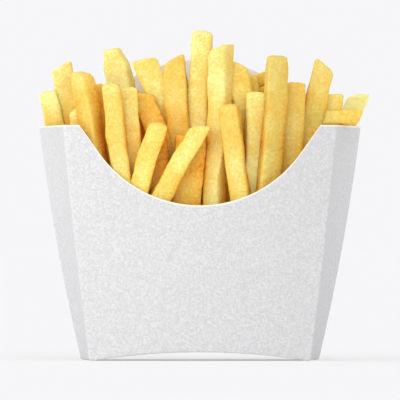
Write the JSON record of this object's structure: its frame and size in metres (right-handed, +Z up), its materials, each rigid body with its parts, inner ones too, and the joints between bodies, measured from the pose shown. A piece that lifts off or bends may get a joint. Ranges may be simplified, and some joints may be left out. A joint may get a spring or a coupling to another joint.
{
  "type": "french fries in a carton",
  "caption": "Portion of straight-cut french fries standing in a plain white paperboard scoop carton with folded side panels and an arched bottom.",
  "frame": {"origin": "under the middle of the whole, on the surface the carton stands on", "axes": "+Z up, -Y out of the carton's front panel with the scoop, +X to the right as seen from the front"},
  "size_m": [0.1448, 0.0545, 0.1429],
  "materials": {
    "paperboard": "matte",
    "fried_potato": "satin"
  },
  "bodies": {
    "root": {"carton": "paperboard", "fries": "fried_potato"}
  },
  "joints": []
}
